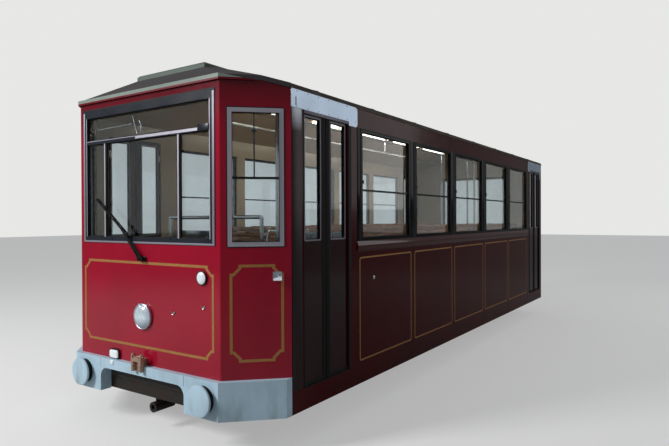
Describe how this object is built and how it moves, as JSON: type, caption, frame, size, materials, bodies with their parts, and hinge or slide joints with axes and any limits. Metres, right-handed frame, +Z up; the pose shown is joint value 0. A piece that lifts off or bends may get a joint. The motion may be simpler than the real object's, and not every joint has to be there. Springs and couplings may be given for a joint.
{
  "type": "funicular railway car",
  "caption": "Two-bogie funicular railway car with a tapered cab, large side windows, hinged double-leaf doors, bench seats and flanged guide wheels on one side.",
  "frame": {"origin": "on the floor at the wheel flange tips, under the middle of the car's overall length and width", "axes": "+X forward out of the cab end, +Y to the car's left, +Z up"},
  "size_m": [8.716, 2.728, 3.27],
  "materials": {
    "body_paint": "gloss",
    "dark_frame": "satin",
    "roof_paint": "matt",
    "fascia_paint": "satin",
    "bumper_paint": "satin",
    "silver_trim": "satin",
    "window_glass": "clear",
    "lamp_chrome": "polished",
    "lamp_lens": "gloss",
    "hook_steel": "satin",
    "wiper_black": "matt",
    "running_gear": "matt",
    "wheel_steel": "satin",
    "floor_rubber": "ribbed",
    "bench_wood": "varnished",
    "desk_plastic": "textured",
    "seat_leather": "worn",
    "pole_steel": "brushed"
  },
  "bodies": {
    "car": {"side_wall_left": "body_paint", "side_wall_right": "body_paint", "doorway_frames": "body_paint", "cab_shell": "body_paint", "rear_wall": "body_paint", "waist_mouldings": "body_paint", "side_window_frames": "dark_frame", "rear_window_frame": "dark_frame", "cab_roof": "roof_paint", "saloon_roof": "roof_paint", "roof_deck": "roof_paint", "roof_gutters": "roof_paint", "roof_fascia": "fascia_paint", "bumper": "bumper_paint", "buffers": "bumper_paint", "door_headers": "silver_trim", "windscreen_frame": "silver_trim", "cab_side_frames": "silver_trim", "side_glass": "window_glass", "cab_side_glass": "window_glass", "windscreen_glass": "window_glass", "rear_glass": "window_glass", "headlamp": "lamp_chrome", "marker_lamps": "lamp_lens", "tow_lug": "hook_steel", "windscreen_wiper": "wiper_black", "underframe": "running_gear", "rear_drawbar": "running_gear", "rope_socket": "running_gear", "equipment_box": "running_gear", "floor_and_steps": "floor_rubber", "bench_seats": "bench_wood", "driver_desk": "desk_plastic", "driver_seat": "seat_leather", "grab_poles": "pole_steel", "driver_screen": "pole_steel"},
    "front_bogie": {"front_bogie_frame": "running_gear", "front_rail_brake": "running_gear"},
    "front_bogie_front_axle": {"front_bogie_front_wheelset": "wheel_steel"},
    "front_bogie_rear_axle": {"front_bogie_rear_wheelset": "wheel_steel"},
    "rear_bogie": {"rear_bogie_frame": "running_gear", "rear_rail_brake": "running_gear"},
    "rear_bogie_front_axle": {"rear_bogie_front_wheelset": "wheel_steel"},
    "rear_bogie_rear_axle": {"rear_bogie_rear_wheelset": "wheel_steel"},
    "front_left_fore_leaf": {"door_front_left_fore": "body_paint", "door_glass_front_left_fore": "window_glass"},
    "front_left_aft_leaf": {"door_front_left_aft": "body_paint", "door_glass_front_left_aft": "window_glass"},
    "front_right_fore_leaf": {"door_front_right_fore": "body_paint", "door_glass_front_right_fore": "window_glass"},
    "front_right_aft_leaf": {"door_front_right_aft": "body_paint", "door_glass_front_right_aft": "window_glass"},
    "rear_left_fore_leaf": {"door_rear_left_fore": "body_paint", "door_glass_rear_left_fore": "window_glass"},
    "rear_left_aft_leaf": {"door_rear_left_aft": "body_paint", "door_glass_rear_left_aft": "window_glass"},
    "rear_right_fore_leaf": {"door_rear_right_fore": "body_paint", "door_glass_rear_right_fore": "window_glass"},
    "rear_right_aft_leaf": {"door_rear_right_aft": "body_paint", "door_glass_rear_right_aft": "window_glass"}
  },
  "joints": [
    {"name": "front_bogie_swivel", "type": "hinge", "parent": "car", "child": "front_bogie", "pos_m": [1.878, 0, 0.5], "axis": [0, 0, 1], "range_deg": [-4, 4]},
    {"name": "front_bogie_front_axle_turn", "type": "hinge", "parent": "front_bogie", "child": "front_bogie_front_axle", "pos_m": [2.428, 0, 0.305], "axis": [0, 1, 0], "continuous": true},
    {"name": "front_bogie_rear_axle_turn", "type": "hinge", "parent": "front_bogie", "child": "front_bogie_rear_axle", "pos_m": [1.328, 0, 0.305], "axis": [0, 1, 0], "continuous": true},
    {"name": "rear_bogie_swivel", "type": "hinge", "parent": "car", "child": "rear_bogie", "pos_m": [-2.268, 0, 0.5], "axis": [0, 0, 1], "range_deg": [-4, 4]},
    {"name": "rear_bogie_front_axle_turn", "type": "hinge", "parent": "rear_bogie", "child": "rear_bogie_front_axle", "pos_m": [-1.718, 0, 0.305], "axis": [0, 1, 0], "continuous": true},
    {"name": "rear_bogie_rear_axle_turn", "type": "hinge", "parent": "rear_bogie", "child": "rear_bogie_rear_axle", "pos_m": [-2.818, 0, 0.305], "axis": [0, 1, 0], "continuous": true},
    {"name": "front_left_fore_door", "type": "hinge", "parent": "car", "child": "front_left_fore_leaf", "pos_m": [3.672, 1.3, 1.6], "axis": [0, 0, 1], "range_deg": [0, 88]},
    {"name": "front_left_aft_door", "type": "hinge", "parent": "car", "child": "front_left_aft_leaf", "pos_m": [3.015, 1.3, 1.6], "axis": [0, 0, -1], "range_deg": [0, 88]},
    {"name": "front_right_fore_door", "type": "hinge", "parent": "car", "child": "front_right_fore_leaf", "pos_m": [3.672, -1.3, 1.6], "axis": [0, 0, -1], "range_deg": [0, 88]},
    {"name": "front_right_aft_door", "type": "hinge", "parent": "car", "child": "front_right_aft_leaf", "pos_m": [3.015, -1.3, 1.6], "axis": [0, 0, 1], "range_deg": [0, 88]},
    {"name": "rear_left_fore_door", "type": "hinge", "parent": "car", "child": "rear_left_fore_leaf", "pos_m": [-3.405, 1.3, 1.6], "axis": [0, 0, 1], "range_deg": [0, 88]},
    {"name": "rear_left_aft_door", "type": "hinge", "parent": "car", "child": "rear_left_aft_leaf", "pos_m": [-4.062, 1.3, 1.6], "axis": [0, 0, -1], "range_deg": [0, 88]},
    {"name": "rear_right_fore_door", "type": "hinge", "parent": "car", "child": "rear_right_fore_leaf", "pos_m": [-3.405, -1.3, 1.6], "axis": [0, 0, -1], "range_deg": [0, 88]},
    {"name": "rear_right_aft_door", "type": "hinge", "parent": "car", "child": "rear_right_aft_leaf", "pos_m": [-4.062, -1.3, 1.6], "axis": [0, 0, 1], "range_deg": [0, 88]}
  ],
  "couplings": [
    {"joint": "front_left_aft_door", "follows": "front_left_fore_door", "ratio": 1},
    {"joint": "front_right_aft_door", "follows": "front_right_fore_door", "ratio": 1},
    {"joint": "rear_left_aft_door", "follows": "rear_left_fore_door", "ratio": 1},
    {"joint": "rear_right_aft_door", "follows": "rear_right_fore_door", "ratio": 1}
  ]
}
